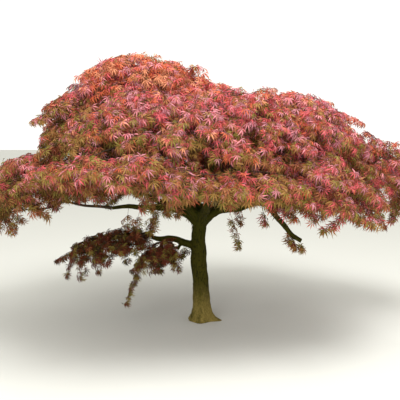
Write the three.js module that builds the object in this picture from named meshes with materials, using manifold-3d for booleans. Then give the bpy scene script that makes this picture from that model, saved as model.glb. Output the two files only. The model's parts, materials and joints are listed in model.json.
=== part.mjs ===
// A laceleaf maple standing in the ground: one short trunk, a fork low down, boughs that arch out of it
// and an umbrella of weeping foliage in tiers.
// Millimetres, +Z up. The origin is the middle of the flat cut under the trunk. +X is the tree's right
// and -Y its front, and a heading is an angle in degrees from +X, counter-clockwise seen from above.
import * as THREE from "three";
import { mergeVertices } from "three/addons/utils/BufferGeometryUtils.js";
import Module from "manifold-3d";

const wasm = await Module();
wasm.setup();

// Clearances
const SEAT_GAP = 0.3; // from a limb or a stem to what carries it
const SPACE_MARGIN = 1.5; // from a mass to the edge of its own space
const LIMB_MARGIN = 3; // from a twig or a leaf to a limb
const SHORTEST_EDGE = 0.2; // edges under this are closed up after a join

// Trunk: leans a little to the left, with a kink under the fork
const TRUNK = {
  buried: 60, // drawn below the ground and then cut off level
  top: 980,
  radius: 73, // at the ground, without the flare
  taper: 0.018, // radius lost for each millimetre of height
  flare: 22,
  flareRise: 70,
  lean: -30, // the axis' shift in X under the fork
  kinkHeight: 650,
  bend: 1.6, // angle in radians that the lean has swung through at the kink
  tipRadius: 42,
  neck: 90, // height over which the top narrows
  levels: [0, 150, 300, 450, 580, 680, 780], // heights that the axis is drawn through
  steps: 13,
  sides: 14,
};

// Root ridges of the flare: how far each stands out at the ground, how wide it is and how high it runs
const ROOTS = [
  { heading: -12, reach: 80, spread: 24, rise: 38 },
  { heading: 75, reach: 30, spread: 30, rise: 70 },
  { heading: 150, reach: 34, spread: 30, rise: 60 },
  { heading: 205, reach: 22, spread: 24, rise: 80 },
  { heading: 262, reach: 36, spread: 30, rise: 60 },
];

// Limbs: radius at the base and at the tip, the mesh along and around one, how far its route wanders
// and how steeply it climbs away from what carries it
// FORK is where the boughs leave the axis, every other one a little higher, and their length on the trunk
const FORK = { height: 820, stagger: 20, leaderRise: 40, stub: 215 };
const PRIMARY = { base: 58, tip: 15, steps: 6, sides: 7, wander: 26 };
const SECONDARY = { base: 17, tip: 11, steps: 5, sides: 6, wander: 12, climb: 0.6 };
const LEADER = { base: 52, tip: 14, steps: 6, sides: 7, wander: 16, x: -410, y: 0 };
const LOW_BOUGH = { base: 44, tip: 20, steps: 6, sides: 7, wander: 14, height: 595, stub: 120 };
const BARE_BOUGH = { base: 28, tip: 18, steps: 6, sides: 6, wander: 20, climb: -1.6, leaves: 0.8 };
const LEADER_LEAVING = [-0.35, 0.1, 1]; // directions in which these limbs leave or arrive
const LOW_LEAVING = [-1, 0, 0.9];
const BARE_ARRIVING = [1, 0, -0.6];
const BARE_END = [760, -420, 745];
const BARE_HEADING = 330;
const ROUTE = { handle: 0.36, points: 6, thinning: 0.55 }; // a limb's curve and the rate of its taper
const SEEDS = { primary: 11, leader: 5, low: 8, secondary: 31, bare: 77, mass: 101 };

// Stem, twigs and leaves of a mass
const STEM = {
  share: 0.62, // of its pad's length
  through: [0, 0.33, 0.66, 1], // shares of that at the points it is drawn through
  sunk: 25,
  tip: 7,
  sides: 4,
  steps: 4,
  joints: 11,
  firstJoint: 0.6, // in spaces between joints
  carries: 0.65,
};
const TWIG = { thickest: 5.5, thinnest: 1.5, taper: 0.85, lift: 0.05, joints: [0.45, 0.8], carries: 0.45 };
const LEAF = { length: 300, width: 225, thickness: 7, shoulder: 0.42, tipFall: 0.12 };
const VARIES = { droop: [0.6, 1.4], length: [0.8, 1.2] }; // factors on a leaf's fall and length
const LEAF_TURNS = [0, 0.5, -0.5, 1, -1, 1.6, -1.6]; // ways that a leaf is turned until it fits
const LEAF_SIZES = [1, 0.8, 0.62]; // and then made smaller
const PAD_ENDS = [
  [1, 0, 0],
  [0.86, 0.55, 0],
  [0.86, -0.55, 0],
  [0.4, 0, 1],
]; // shares of a pad's length, half width and half depth
const TRIES = 8; // targets tried for each twig wanted
const SEQUENCE = [0.8191725134, 0.6710436067, 0.5497004779]; // steps of an even scatter in three axes
// Fewer points low down, a pad thinner at its rim, and the floor of a pad that names none
const SCATTER = { lowPower: 1.5, rimThin: 0.7, floor: [-1, -1] };

// Tiers of the crown. Each mass is a pad: inner and reach are its ends measured from the tier's axis,
// arch is how far its middle stands over the line between them, sideFall how far its flanks hang,
// halfWidth and halfDepth its size across and droop the fall of its leaves. floor is the lowest share
// of the half depth that its twigs end at, at its two ends. heart is the point that its own space is
// drawn around: a distance from the axis and a height.
const TIERS = {
  top: {
    axis: [LEADER.x, LEADER.y],
    inner: 60,
    arch: 150,
    sideFall: 130,
    halfWidth: 560,
    halfDepth: 150,
    droop: 0.5,
    heart: [260, 2060],
    twigs: 26,
  },
  upper: {
    axis: [0, 0],
    inner: 480,
    arch: 220,
    sideFall: 150,
    halfWidth: 700,
    halfDepth: 200,
    droop: 0.55,
    heart: [1060, 1680],
    leaves: 0.3,
    twigs: 29,
  },
  lower: {
    axis: [0, 0],
    inner: 740,
    arch: 240,
    sideFall: 100,
    halfWidth: 640,
    halfDepth: 200,
    droop: 0.5,
    heart: [1120, 1040],
    climb: 1,
    twigs: 27,
  },
  low: {
    axis: [0, 0],
    inner: 420,
    arch: 50,
    sideFall: 40,
    halfWidth: 260,
    halfDepth: 75,
    droop: 0.35,
    heart: [800, 700],
    twigs: 18,
  },
};

// The mass whose bough carries the others of a tier. The upper ones are carried by the lower one below.
const CARRIERS = { top: "top_front", low: "low_left" };

// The front of the lower tier is cut higher, so that the fork shows under it
const FRONT_PAD = { arch: 100, halfDepth: 140, droop: 0.3 };

// One row for each mass: its heading, its reach, the heights of its two ends and what differs from its
// tier. leaves is the share of the carrier's length where its bough leaves it, and climb is how steeply
// it does so.
const CROWN = [
  {
    tier: "lower",
    place: "left",
    heading: 187,
    reach: 1790,
    rise: 960,
    rim: 860,
    arch: 60,
    sideFall: -100,
    climb: 1.2,
    halfDepth: 500,
    floor: [0.45, 0],
    droop: 0.6,
  },
  {
    tier: "lower",
    place: "front_left",
    heading: 234,
    reach: 1380,
    rise: 1310,
    rim: 1370,
    ...FRONT_PAD,
    heart: [1120, 1130],
  },
  {
    tier: "lower",
    place: "front",
    heading: 280,
    reach: 1200,
    rise: 1250,
    rim: 1270,
    ...FRONT_PAD,
    heart: [1120, 990],
  },
  { tier: "lower", place: "front_right", heading: 324, reach: 1360, rise: 1140, rim: 1080 },
  { tier: "lower", place: "right", heading: 7, reach: 1790, rise: 1140, rim: 1190, climb: 1.2 },
  { tier: "lower", place: "back_right", heading: 51, reach: 1500, rise: 1130, rim: 1000 },
  { tier: "lower", place: "back", heading: 96, reach: 1320, rise: 1130, rim: 1000 },
  {
    tier: "lower",
    place: "back_left",
    heading: 142,
    reach: 1420,
    rise: 1120,
    rim: 1060,
    floor: [-0.6, -0.5],
  },
  { tier: "upper", place: "left", heading: 178, reach: 1190, rise: 1640, rim: 1520, arch: 330 },
  { tier: "upper", place: "front_left", heading: 231, reach: 1150, rise: 1560, rim: 1360 },
  { tier: "upper", place: "front", heading: 284, reach: 1080, rise: 1540, rim: 1360 },
  { tier: "upper", place: "right", heading: 341, reach: 1220, rise: 1510, rim: 1380 },
  { tier: "upper", place: "back_right", heading: 43, reach: 1390, rise: 1680, rim: 1600, arch: 140 },
  { tier: "upper", place: "back", heading: 112, reach: 1170, rise: 1610, rim: 1480 },
  { tier: "top", place: "front", heading: 230, reach: 520, rise: 1920, rim: 1850 },
  {
    tier: "top",
    place: "back",
    heading: 50,
    reach: 520,
    rise: 1910,
    rim: 1830,
    sideFall: 280,
    leaves: 0.72,
  },
  {
    tier: "top",
    place: "right",
    heading: 352,
    inner: 170,
    reach: 800,
    rise: 1770,
    rim: 1660,
    arch: 130,
    heart: [430, 1900],
    leaves: 0.58,
  },
  { tier: "low", place: "left", heading: 183, reach: 1100, rise: 710, rim: 590 },
  {
    tier: "low",
    place: "inner",
    heading: 190,
    inner: 230,
    reach: 560,
    rise: 620,
    rim: 560,
    halfWidth: 190,
    halfDepth: 90,
    droop: 0.8,
    heart: [450, 280],
    twigs: 12,
    leaves: 0.3,
    climb: -0.3,
  },
];

// Colours: dark olive-brown bark, and foliage that is brightest at the top
const BARK_COLOUR = 0x4a3a2a;
const FOLIAGE_COLOURS = { top: 0xb0604e, upper: 0xa2564a, lower: 0x8c4a3e, low: 0x5c3628 };
const bark = () => new THREE.MeshStandardMaterial({ color: BARK_COLOUR, roughness: 0.9, metalness: 0 });
const foliage = ({ tier }) =>
  new THREE.MeshStandardMaterial({ color: FOLIAGE_COLOURS[tier], roughness: 0.65, metalness: 0 });

// Numbers from 0 to 1 that come out the same on every run
function seededRandom(seed) {
  let state = seed >>> 0;
  return () => {
    state = (state + 0x6d2b79f5) >>> 0;
    let t = Math.imul(state ^ (state >>> 15), state | 1);
    t ^= t + Math.imul(t ^ (t >>> 7), t | 61);
    return ((t ^ (t >>> 14)) >>> 0) / 4294967296;
  };
}

const UP = new THREE.Vector3(0, 0, 1);
const outward = (heading) => {
  const angle = THREE.MathUtils.degToRad(heading);
  return new THREE.Vector3(Math.cos(angle), Math.sin(angle), 0);
};
const sideways = (heading) => outward(heading + 90);

// A closed solid from a geometry whose faces point out
function solidOf(geometry) {
  const bare = geometry.clone();
  bare.deleteAttribute("normal");
  bare.deleteAttribute("uv");
  const merged = mergeVertices(bare, 1e-4);
  return new wasm.Manifold(
    new wasm.Mesh({
      numProp: 3,
      vertProperties: new Float32Array(merged.attributes.position.array),
      triVerts: new Uint32Array(merged.index.array),
    }),
  );
}

// The largest body of a solid, without sealed hollows, loose scraps or very short edges
function oneBody(solid) {
  const bodies = solid.asOriginal().simplify(SHORTEST_EDGE).decompose();
  return bodies.reduce((best, body) => (body.volume() > best.volume() ? body : best));
}

function meshOf(name, solid, material) {
  const { numProp, numVert, vertProperties, triVerts } = solid.getMesh();
  const positions = new Float32Array(numVert * 3);
  for (let i = 0; i < numVert; i++) {
    positions.set(vertProperties.subarray(i * numProp, i * numProp + 3), i * 3);
  }
  const geometry = new THREE.BufferGeometry();
  geometry.setAttribute("position", new THREE.BufferAttribute(positions, 3));
  geometry.setIndex(new THREE.BufferAttribute(triVerts, 1));
  geometry.computeVertexNormals();
  const mesh = new THREE.Mesh(geometry, material);
  mesh.name = name;
  return mesh;
}

// A closed tapering tube along a curve, from one share of its length to another.
// radiusAt takes the share of the length, the point and the angle around the tube.
function tubeGeometry(curve, radiusAt, { steps, sides, across, from = 0, to = 1 }) {
  const positions = [];
  const faces = [];
  for (let i = 0; i <= steps; i++) {
    const share = THREE.MathUtils.lerp(from, to, i / steps);
    const centre = curve.getPointAt(share);
    const ahead = curve.getTangentAt(share);
    const first = across.clone().addScaledVector(ahead, -across.dot(ahead)).normalize();
    const second = ahead.clone().cross(first);
    for (let k = 0; k < sides; k++) {
      const angle = (2 * Math.PI * k) / sides;
      const radius = radiusAt(share, centre, angle);
      const point = centre
        .clone()
        .addScaledVector(first, radius * Math.cos(angle))
        .addScaledVector(second, radius * Math.sin(angle));
      positions.push(point.x, point.y, point.z);
    }
  }
  const corner = (i, k) => i * sides + (k % sides);
  for (let i = 0; i < steps; i++) {
    for (let k = 0; k < sides; k++) {
      faces.push(corner(i, k), corner(i, k + 1), corner(i + 1, k + 1));
      faces.push(corner(i, k), corner(i + 1, k + 1), corner(i + 1, k));
    }
  }
  for (let k = 1; k < sides - 1; k++) {
    faces.push(corner(0, 0), corner(0, k + 1), corner(0, k));
    faces.push(corner(steps, 0), corner(steps, k), corner(steps, k + 1));
  }
  const geometry = new THREE.BufferGeometry();
  geometry.setAttribute("position", new THREE.Float32BufferAttribute(positions, 3));
  geometry.setIndex(faces);
  return geometry;
}

// Trunk

const trunkAxis = (height) => {
  const share = height / TRUNK.kinkHeight;
  return new THREE.Vector3(TRUNK.lean * Math.sin(share * share * TRUNK.bend), 0, height);
};

const trunkCurve = new THREE.CatmullRomCurve3(
  [-TRUNK.buried, ...TRUNK.levels, TRUNK.top].map(trunkAxis),
);

function trunkRadius(share, centre, angle) {
  const height = Math.max(centre.z, 0);
  const neck = THREE.MathUtils.clamp((TRUNK.top - centre.z) / TRUNK.neck, 0, 1);
  const plain = TRUNK.radius - TRUNK.taper * height + TRUNK.flare * Math.exp(-height / TRUNK.flareRise);
  let ridges = 0;
  for (const { heading, reach, spread, rise } of ROOTS) {
    const degrees = THREE.MathUtils.radToDeg(angle) - heading;
    const turn = THREE.MathUtils.euclideanModulo(degrees + 180, 360) - 180;
    ridges += reach * Math.exp(-((turn / spread) ** 2) - height / rise);
  }
  return TRUNK.tipRadius + (plain - TRUNK.tipRadius) * Math.sqrt(neck) + ridges;
}

function trunkSolid() {
  const tube = tubeGeometry(trunkCurve, trunkRadius, { ...TRUNK, across: outward(0) });
  return solidOf(tube).trimByPlane([0, 0, 1], 0);
}

// Limbs

// A limb's route: it leaves its start along one direction, arrives at its end along another, and wanders
// a little from side to side on the way.
function limbCurve(start, leaving, end, arriving, wander, seed) {
  const random = seededRandom(seed);
  const span = start.distanceTo(end);
  const smooth = new THREE.CubicBezierCurve3(
    start,
    start.clone().addScaledVector(leaving.clone().normalize(), span * ROUTE.handle),
    end.clone().addScaledVector(arriving.clone().normalize(), -span * ROUTE.handle),
    end,
  );
  const points = smooth.getSpacedPoints(ROUTE.points);
  points.slice(2, -1).forEach((point) => {
    const stray = new THREE.Vector3(random() - 0.5, random() - 0.5, random() - 0.5);
    point.addScaledVector(stray, 2 * wander);
  });
  return new THREE.CatmullRomCurve3(points);
}

function makeLimb(name, curve, sizes, heading, seat) {
  const radiusAt = (share) => THREE.MathUtils.lerp(sizes.base, sizes.tip, share ** ROUTE.thinning);
  return { name, curve, sizes, radiusAt, across: sideways(heading), seat, length: curve.getLength() };
}

// The part of a limb between two shares of its length, thicker all round by grow
function limbSolid(limb, from, to, grow = 0) {
  const steps = Math.max(2, Math.round(limb.sizes.steps * (to - from)));
  const radiusAt = (share) => limb.radiusAt(share) + grow;
  const shape = { steps, sides: limb.sizes.sides, across: limb.across, from, to };
  return solidOf(tubeGeometry(limb.curve, radiusAt, shape));
}

// Pads

function makePad(row) {
  const sizes = { ...TIERS[row.tier], ...row };
  const axis = new THREE.Vector3(...sizes.axis, 0);
  const [radius, height] = sizes.heart;
  const heart = axis.clone().addScaledVector(outward(row.heading), radius).setZ(height);
  return { ...sizes, name: `${row.tier}_${row.place}`, axis, heart };
}

// The point of a pad at a share of its length, a share of its half width and a share of its half depth
function padPoint(pad, along, side, deep) {
  const spine = THREE.MathUtils.lerp(pad.rise, pad.rim, along) + pad.arch * 4 * along * (1 - along);
  const height = spine - pad.sideFall * side * side;
  return pad.axis
    .clone()
    .addScaledVector(outward(pad.heading), THREE.MathUtils.lerp(pad.inner, pad.reach, along))
    .addScaledVector(sideways(pad.heading), pad.halfWidth * side)
    .setZ(height + pad.halfDepth * deep);
}

// Masses

// A three-sided twig along a curve that widens at its end into a leaf, flat under and ridged above
function shootGeometry(curve, base, leafAhead, length, steps) {
  const points = [];
  const ring = (centre, ahead, half, sink, ridge) => {
    const across = ahead.clone().cross(UP).normalize();
    const above = across.clone().cross(ahead).normalize();
    const edge = centre.clone().addScaledVector(above, -sink);
    points.push(edge.clone().addScaledVector(across, -half));
    points.push(edge.clone().addScaledVector(across, half));
    points.push(centre.clone().addScaledVector(above, ridge));
  };
  for (let i = 0; i <= steps; i++) {
    const radius = base * THREE.MathUtils.lerp(1, TWIG.taper, i / steps);
    const [half, sink] = [radius * Math.sin(Math.PI / 3), radius * Math.cos(Math.PI / 3)];
    ring(curve.getPoint(i / steps), curve.getTangent(i / steps), half, sink, radius);
  }
  const tip = curve.getPoint(1);
  const shoulder = tip.clone().addScaledVector(leafAhead, length * LEAF.shoulder);
  const halfWidth = (LEAF.width / LEAF.length / 2) * length;
  ring(shoulder, leafAhead, halfWidth, LEAF.thickness / 2, LEAF.thickness / 2);
  points.push(tip.clone().addScaledVector(leafAhead, length).addScaledVector(UP, -length * LEAF.tipFall));
  const faces = [0, 1, 2];
  for (let i = 0; i <= steps; i++) {
    for (let k = 0; k < 3; k++) {
      const [a, b] = [3 * i + k, 3 * i + ((k + 1) % 3)];
      faces.push(a, a + 3, b + 3, a, b + 3, b);
    }
  }
  const last = points.length - 1;
  for (let k = 0; k < 3; k++) faces.push(last - 3 + k, last, last - 3 + ((k + 1) % 3));
  const geometry = new THREE.BufferGeometry().setFromPoints(points);
  geometry.setIndex(faces);
  return geometry;
}

// The points that a mass's twigs grow to, in turn: its furthest tip, the ends of its flanks, its crest,
// and then an even scatter over its pad
function twigTarget(pad, k) {
  if (k < PAD_ENDS.length) return padPoint(pad, ...PAD_ENDS[k]);
  const [a, b, c] = SEQUENCE.map((step) => (0.5 + k * step) % 1);
  const ring = Math.sqrt(a);
  const turn = 2 * Math.PI * b;
  const along = 0.5 + 0.5 * ring * Math.cos(turn);
  const floor = THREE.MathUtils.lerp(...(pad.floor ?? SCATTER.floor), along);
  const level = THREE.MathUtils.lerp(1, floor, c ** SCATTER.lowPower);
  return padPoint(pad, along, ring * Math.sin(turn), level * Math.sqrt(1 - SCATTER.rimThin * a));
}

// Tries a leaf at each size and turn, and gives the first that make finds room for
function firstThatFits(make) {
  for (const size of LEAF_SIZES) {
    for (const turn of LEAF_TURNS) {
      const made = make(size, turn);
      if (made) return made;
    }
  }
  return null;
}

// The stem of a mass goes on from the end of its bough along the pad
function makeStem(pad, bough) {
  const seat = bough.curve.getPoint(1);
  const facing = bough.curve.getTangent(1);
  const curve = new THREE.CatmullRomCurve3([
    seat.clone().addScaledVector(facing, -STEM.sunk),
    ...STEM.through.map((share) => padPoint(pad, share * STEM.share, 0, 0)),
  ]);
  const radiusAt = (share) => THREE.MathUtils.lerp(bough.sizes.tip, STEM.tip, Math.sqrt(share));
  const tube = (grow) =>
    solidOf(
      tubeGeometry(curve, (share) => radiusAt(share) + grow, { ...STEM, across: sideways(pad.heading) }),
    );
  const solid = tube(0).trimByPlane(facing.toArray(), seat.dot(facing) + SEAT_GAP);
  return { pad, curve, radiusAt, solid, kept: tube(LIMB_MARGIN) };
}

// Grows one mass from its stem: each twig leaves the nearest free joint, arches to its target and ends in
// a leaf. A twig whose leaf would leave the space, cross another or touch other wood is left out.
function massSolid({ pad, curve: stemCurve, radiusAt, solid }, wood, seed) {
  const random = seededRandom(seed);
  const pieces = [solid];
  const joints = Array.from({ length: STEM.joints }, (_, k) => {
    const share = (k + STEM.firstJoint) / STEM.joints;
    return { point: stemCurve.getPointAt(share), on: 0, carries: STEM.carries * radiusAt(share) };
  });
  for (let k = 0; pieces.length <= pad.twigs && k < TRIES * pad.twigs; k++) {
    const target = twigTarget(pad, k);
    const gap = ({ point }) => point.distanceTo(target);
    const joint = joints.reduce((best, other) => (gap(other) < gap(best) ? other : best));
    const reach = gap(joint);
    const base = THREE.MathUtils.clamp(joint.carries, TWIG.thinnest, TWIG.thickest);
    const middle = joint.point.clone().lerp(target, 0.5).addScaledVector(UP, 2 * TWIG.lift * reach);
    const steps = reach > LEAF.length ? 2 : 1;
    const curve =
      steps === 2
        ? new THREE.QuadraticBezierCurve3(joint.point, middle, target)
        : new THREE.LineCurve3(joint.point, target);
    const droop = pad.droop * THREE.MathUtils.lerp(...VARIES.droop, random());
    const length = LEAF.length * THREE.MathUtils.lerp(...VARIES.length, random());
    const outer = new THREE.LineCurve3(curve.getPoint(0.5), target);
    const shoot = firstThatFits((size, turn) => {
      const ahead = target.clone().sub(joint.point).setZ(0).normalize().applyAxisAngle(UP, turn);
      ahead.setZ(-droop).normalize();
      const tried = solidOf(shootGeometry(curve, base, ahead, length * size, steps));
      const free = solidOf(shootGeometry(outer, base, ahead, length * size, 1));
      const crosses = (piece, i) => !(i === joint.on ? free : tried).intersect(piece).isEmpty();
      const fits = !pieces.some(crosses) && keepsToSpace(pad, tried) && tried.intersect(wood).isEmpty();
      return fits ? tried : null;
    });
    if (!shoot) continue;
    joints.splice(joints.indexOf(joint), 1);
    const halves = steps === 2 ? [0.5] : TWIG.joints;
    for (const share of halves) {
      joints.push({ point: curve.getPoint(share), on: pieces.length, carries: TWIG.carries * base });
    }
    pieces.push(shoot);
  }
  return oneBody(wasm.Manifold.union(pieces));
}

// Assembly

const pads = CROWN.map(makePad);
const padNamed = (name) => pads.find((pad) => pad.name === name);
const limbs = [];
const limbNamed = (name) => limbs.find((limb) => limb.name === name);

// How far a point lies inside a mass's own space, which the planes halfway to the other hearts bound
function spaceLeft(pad, point) {
  const gaps = pads.map((other) => {
    if (other === pad) return Infinity;
    const away = other.heart.clone().sub(pad.heart).normalize();
    return pad.heart.clone().lerp(other.heart, 0.5).sub(point).dot(away);
  });
  return Math.min(...gaps);
}

function keepsToSpace(pad, solid) {
  const { numProp, numVert, vertProperties } = solid.getMesh();
  for (let i = 0; i < numVert; i++) {
    const point = new THREE.Vector3().fromArray(vertProperties, i * numProp);
    if (spaceLeft(pad, point) < SPACE_MARGIN) return false;
  }
  return true;
}

// The bough of a mass, from its start to the inner end of the pad
function addBough(pad, sizes, seat, start, leaving, seed) {
  const end = padPoint(pad, 0, 0, 0);
  const arriving = padPoint(pad, 0.1, 0, 0).sub(end);
  const curve = limbCurve(start, leaving, end, arriving, sizes.wander, seed);
  limbs.push(makeLimb(`${pad.name}_bough`, curve, sizes, pad.heading, seat));
}

// Boughs that leave the trunk: the primary ones and the leader at the fork, the low one under it
for (const [index, pad] of pads.entries()) {
  if (pad.tier === "lower") {
    const leaving = outward(pad.heading).addScaledVector(UP, pad.climb);
    const start = trunkAxis(FORK.height + (index % 2) * FORK.stagger);
    addBough(pad, PRIMARY, "trunk", start, leaving, SEEDS.primary + index);
  }
}
const leaderStart = trunkAxis(FORK.height + FORK.leaderRise);
const leaderLeaving = new THREE.Vector3(...LEADER_LEAVING);
addBough(padNamed("top_front"), LEADER, "trunk", leaderStart, leaderLeaving, SEEDS.leader);
const lowLeaving = new THREE.Vector3(...LOW_LEAVING);
addBough(padNamed("low_left"), LOW_BOUGH, "trunk", trunkAxis(LOW_BOUGH.height), lowLeaving, SEEDS.low);

// Secondary boughs leave a primary one, or the leader, for the upper tier and the rest of the top
for (const [index, pad] of pads.entries()) {
  if (limbNamed(`${pad.name}_bough`)) continue;
  const carrier = limbNamed(`${CARRIERS[pad.tier] ?? `lower_${pad.place}`}_bough`);
  const leaving = carrier.curve.getTangentAt(pad.leaves).addScaledVector(UP, pad.climb ?? SECONDARY.climb);
  const start = carrier.curve.getPointAt(pad.leaves);
  addBough(pad, SECONDARY, carrier.name, start, leaving, SEEDS.secondary + index);
}

// A bare bough hangs from the one at the front right
{
  const carrier = limbNamed("lower_front_right_bough");
  const start = carrier.curve.getPointAt(BARE_BOUGH.leaves);
  const end = new THREE.Vector3(...BARE_END);
  const leaving = carrier.curve.getTangentAt(BARE_BOUGH.leaves).addScaledVector(UP, BARE_BOUGH.climb);
  const arriving = new THREE.Vector3(...BARE_ARRIVING);
  const curve = limbCurve(start, leaving, end, arriving, BARE_BOUGH.wander, SEEDS.bare);
  limbs.push(makeLimb("bare_bough", curve, BARE_BOUGH, BARE_HEADING, carrier.name));
}

const trunkLimbs = limbs.filter(({ seat }) => seat === "trunk");
const stubShare = ({ sizes, length }) => (sizes.stub ?? FORK.stub) / length;
const trunk = oneBody(
  wasm.Manifold.union([trunkSolid(), ...trunkLimbs.map((limb) => limbSolid(limb, 0, stubShare(limb)))]),
);
const limbStart = (limb) => (limb.seat === "trunk" ? stubShare(limb) + SEAT_GAP / limb.length : 0);
const limbGrown = (limb, grow) => limbSolid(limb, limbStart(limb), 1, grow);
for (const limb of limbs) {
  const whole = limbGrown(limb, 0);
  const carrier = limbNamed(limb.seat);
  limb.solid = carrier ? oneBody(whole.subtract(limbGrown(carrier, SEAT_GAP + SHORTEST_EDGE))) : whole;
}
const wood = wasm.Manifold.union([trunk, ...limbs.map((limb) => limbGrown(limb, LIMB_MARGIN))]);
const stems = pads.map((pad) => makeStem(pad, limbNamed(`${pad.name}_bough`)));

const tree = new THREE.Group();
tree.add(meshOf("trunk", trunk, bark()));
for (const limb of limbs) tree.add(meshOf(limb.name, limb.solid, bark()));
for (const [index, stem] of stems.entries()) {
  const others = stems.filter((other) => other !== stem).map(({ kept }) => kept);
  const mass = massSolid(stem, wasm.Manifold.union([wood, ...others]), SEEDS.mass + index);
  tree.add(meshOf(`${stem.pad.name}_foliage`, mass, foliage(stem.pad)));
}

export default tree;
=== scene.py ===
"""Bark, twigs and leaves of a weeping laceleaf maple, grown over its solids.

Metres, +Z up. The origin is the middle of the trunk at ground level, +X is the tree's right and -Y its
front. A heading is an angle in degrees from +X, counter-clockwise seen from above.
"""

import functools
import json
import math
from types import SimpleNamespace as Sizes

import bmesh
import bpy
import numpy as np
from bpy.props import FloatProperty, FloatVectorProperty, IntProperty, PointerProperty
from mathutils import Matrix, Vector, kdtree, noise

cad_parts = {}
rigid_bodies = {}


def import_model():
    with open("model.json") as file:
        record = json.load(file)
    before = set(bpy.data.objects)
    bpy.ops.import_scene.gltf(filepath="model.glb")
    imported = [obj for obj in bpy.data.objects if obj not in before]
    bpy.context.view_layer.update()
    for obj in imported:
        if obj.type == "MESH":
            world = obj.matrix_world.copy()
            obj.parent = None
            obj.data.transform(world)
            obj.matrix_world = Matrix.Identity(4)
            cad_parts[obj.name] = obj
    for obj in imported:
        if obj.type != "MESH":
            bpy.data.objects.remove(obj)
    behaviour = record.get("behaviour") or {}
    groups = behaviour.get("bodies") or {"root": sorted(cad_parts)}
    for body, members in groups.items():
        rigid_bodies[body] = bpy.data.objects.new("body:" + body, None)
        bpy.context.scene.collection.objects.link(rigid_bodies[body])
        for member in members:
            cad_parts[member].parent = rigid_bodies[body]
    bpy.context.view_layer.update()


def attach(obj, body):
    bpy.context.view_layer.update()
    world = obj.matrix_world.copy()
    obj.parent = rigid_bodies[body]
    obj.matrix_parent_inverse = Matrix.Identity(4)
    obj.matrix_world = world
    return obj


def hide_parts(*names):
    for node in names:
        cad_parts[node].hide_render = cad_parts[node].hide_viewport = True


bl_info = {
    "name": "Weeping maple",
    "version": (1, 0, 0),
    "blender": (4, 5, 0),
    "location": "3D View > Sidebar > Maple",
    "description": "Grows the bark, twigs and leaves of a weeping laceleaf maple",
    "category": "Add Mesh",
}

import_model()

UP = np.array([0.0, 0.0, 1.0])
BODY = "root"

# Trunk: leans a little to the left, with a kink under the fork
TRUNK = Sizes(
    buried=0.06,
    top=0.98,
    radius=0.073,
    taper=0.018,
    flare=0.022,
    flare_rise=0.07,
    lean=-0.03,
    kink_height=0.65,
    bend=1.6,
    tip_radius=0.042,
    neck=0.09,
    levels=(0, 0.15, 0.3, 0.45, 0.58, 0.68, 0.78),
)

# Root ridges of the flare: heading, reach at the ground, spread in degrees and rise
ROOTS = (
    (-12, 0.080, 24, 0.038),
    (75, 0.030, 30, 0.070),
    (150, 0.034, 30, 0.060),
    (205, 0.022, 24, 0.080),
    (262, 0.036, 30, 0.060),
)

# Limbs: radius at the base and at the tip, how far the route wanders and how steeply it climbs away
FORK = Sizes(height=0.82, stagger=0.02, leader_rise=0.04)
PRIMARY = Sizes(base=0.058, tip=0.015, wander=0.026)
SECONDARY = Sizes(base=0.017, tip=0.011, wander=0.012, climb=0.6)
LEADER = Sizes(base=0.052, tip=0.014, wander=0.016, leaving=(-0.35, 0.1, 1))
LOW_BOUGH = Sizes(base=0.044, tip=0.020, wander=0.014, height=0.595, leaving=(-1, 0, 0.9))
BARE_BOUGH = Sizes(base=0.028, tip=0.018, wander=0.020, climb=-1.6, leaves=0.8)
BARE_END = (0.76, -0.42, 0.745)
BARE_ARRIVING = (1, 0, -0.6)
BARE_HEADING = 330
ROUTE = Sizes(handle=0.36, samples=200, points=7, thinning=0.55, sight=0.1)
SEEDS = Sizes(primary=11, leader=5, low=8, secondary=31, bare=77, mass=101, stem=201, leaves=601)

# Fineness of the wood before it is blended, and how it is softened
TRUNK_POINTS = 90
TRUNK_SIDES = 48
LIMB_POINTS = 61
LIMB_SIDES = 14
SOFTEN = Sizes(factor=0.5, rounds=3)

# Knots on the trunk: heading, height, rise and reach
KNOTS = (
    (200, 0.50, 0.014, 0.05),
    (320, 0.33, 0.008, 0.03),
    (250, 0.62, 0.010, 0.04),
    (30, 0.58, 0.012, 0.05),
)
KNOT_MOUTH = Sizes(depth=0.7, width=0.35)

# Relief of the bark: furrows along the wood, lumps in two sizes and grit, all less on thin limbs
RELIEF = Sizes(
    spacing=0.017, furrow_width=0.011, furrow_length=0.07, sharpness=2.2, full_girth=0.04,
    lumps=13, small_lumps=31, small_share=0.5, grit_scale=90, grit=0.0008,
)

# Colours of the bark: scales of the noise, and the values between which a share goes from 0 to 1. The
# furrowed share sets the painted shade in the furrows
PATTERN = Sizes(
    stretch=0.3, detail=5.0, roughness=0.6, fine=240.0, patches=16.0, moss=34.0,
    furrowed=(0.55, 1.15), patchy=(0.32, 0.52), near_ground=(0.34, 0.06), worn=(0.3, 0.65),
    mossy=(0.36, 0.56), bump=0.002, bump_strength=0.6,
)
BARK_TINTS = ("Ridge", "Hollow", "Pale", "Moss")
MOSS = Sizes(middle=(-0.03, 0.0, 0.9), reach=0.24, level=0.6, upward=0.5)

# Roughness and specular level of each finish
FINISH = Sizes(
    bark=(0.88, 0.1), old_wood=(0.8, 0.3), young_wood=(0.7, 0.3), leaf=(0.55, 0.2), floor=(0.9, 0.1)
)

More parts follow.
